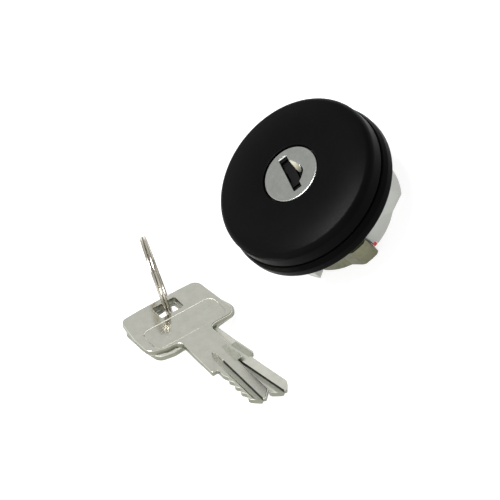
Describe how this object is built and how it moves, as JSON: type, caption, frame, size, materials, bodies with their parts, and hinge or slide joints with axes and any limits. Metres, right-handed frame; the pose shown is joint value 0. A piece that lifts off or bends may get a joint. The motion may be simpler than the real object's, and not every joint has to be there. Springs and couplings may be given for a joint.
{
  "type": "keyed bayonet filler cap",
  "caption": "Round black locking bayonet filler cap with a keyed lock, a spring-loaded seal and a split ring of matching keys.",
  "frame": {"origin": "centre of the filler-neck mouth, on the plane that the gasket seats on", "axes": "+Z outwards along the cap axis, +X along the keyway, cap standing on the end of its plug"},
  "size_m": [0.0932, 0.1233, 0.0371],
  "materials": {
    "acetal_white": "smooth moulded, slightly translucent",
    "zinc_passivated": "yellow-green passivated zinc",
    "steel_plated": "bright zinc plate",
    "acetal_red": "smooth moulded",
    "brass": "machined",
    "black_oxide": "blackened",
    "spring_steel": "drawn wire",
    "rubber_black": "matt",
    "nylon_black": "satin moulded, fine spark texture",
    "zinc_cast": "as cast",
    "stainless_satin": "satin",
    "nickel_bright": "bright nickel plate",
    "nickel_key": "tumbled nickel plate"
  },
  "bodies": {
    "plug": {"plug_body": "acetal_white", "bayonet_plate": "zinc_passivated", "plate_rivets": "steel_plated", "slip_washer": "acetal_white", "dog_ring": "steel_plated", "dog_screws": "steel_plated", "vent_cover": "acetal_red", "vent_seat": "brass", "vent_cage": "acetal_white", "vent_spring": "spring_steel", "seal_spring": "spring_steel"},
    "vent": {"vent_poppet": "brass"},
    "seal": {"seal_carrier": "steel_plated", "gasket": "rubber_black"},
    "cap": {"cover": "nylon_black", "skirt_ring": "nylon_black", "skirt_screws": "steel_plated", "lock_barrel": "zinc_cast", "barrel_screws": "steel_plated", "face_seal": "rubber_black", "bolt_carrier": "zinc_cast", "carrier_plate": "steel_plated", "carrier_screws": "steel_plated"},
    "bolt_a": {"drive_bolt_a": "steel_plated"},
    "bolt_b": {"drive_bolt_b": "steel_plated"},
    "lock": {"cylinder_core": "black_oxide", "lock_face": "stainless_satin", "scroll_cam": "steel_plated", "cam_washer": "steel_plated", "cam_screw": "steel_plated", "shutter_pin": "spring_steel", "shutter_spring": "spring_steel"},
    "wafers": {"wafers": "brass"},
    "shutter": {"dust_shutter": "nylon_black"},
    "ring": {"split_ring": "nickel_bright"},
    "key_1": {"key_1": "nickel_key"},
    "key_2": {"key_2": "nickel_key"}
  },
  "joints": [
    {"name": "cover_spin", "type": "hinge", "parent": "plug", "child": "cap", "pos_m": [0, 0, 0], "axis": [0, 0, 1], "continuous": true},
    {"name": "lock_turn", "type": "hinge", "parent": "cap", "child": "lock", "pos_m": [0, 0, 0], "axis": [0, 0, -1], "range_deg": [0, 90]},
    {"name": "bolt_a_slide", "type": "slide", "parent": "cap", "child": "bolt_a", "axis": [0, 1, 0], "range_m": [0, 0.0024]},
    {"name": "bolt_b_slide", "type": "slide", "parent": "cap", "child": "bolt_b", "axis": [0, -1, 0], "range_m": [0, 0.0024]},
    {"name": "wafer_slide", "type": "slide", "parent": "lock", "child": "wafers", "axis": [1, 0, 0], "range_m": [0, 0.0007]},
    {"name": "shutter_swing", "type": "hinge", "parent": "lock", "child": "shutter", "pos_m": [0, -0.00235, 0.0127], "axis": [-1, 0, 0], "range_deg": [0, 80], "stiffness_Nm_per_rad": 0.0002, "springref_deg": -20.05},
    {"name": "vent_lift", "type": "slide", "parent": "plug", "child": "vent", "axis": [0, 0, 1], "range_m": [0, 0.0008], "stiffness_N_per_m": 100, "springref_m": -0.002, "deforming": ["vent_spring"]},
    {"name": "seal_lift", "type": "slide", "parent": "plug", "child": "seal", "axis": [0, 0, 1], "range_m": [0, 0.0015], "stiffness_N_per_m": 1000, "springref_m": -0.001, "deforming": ["seal_spring"]},
    {"name": "keys_lift", "type": "slide", "parent": "plug", "child": "ring", "axis": [0, 0, 1], "range_m": [0, 0.06]},
    {"name": "key_1_fan", "type": "hinge", "parent": "ring", "child": "key_1", "pos_m": [-0.0028, -0.0749, -0.01175], "axis": [-0.1268, 0.5018, 0.8556], "range_deg": [-6, 1.5]},
    {"name": "key_2_fan", "type": "hinge", "parent": "ring", "child": "key_2", "pos_m": [-0.0028, -0.0749, -0.01175], "axis": [-0.1268, 0.5018, 0.8556], "range_deg": [-6, 1.5]}
  ],
  "couplings": [
    {"joint": "bolt_a_slide", "follows": "lock_turn", "m_per_rad": 0.0015278},
    {"joint": "bolt_b_slide", "follows": "lock_turn", "m_per_rad": 0.0015278}
  ]
}
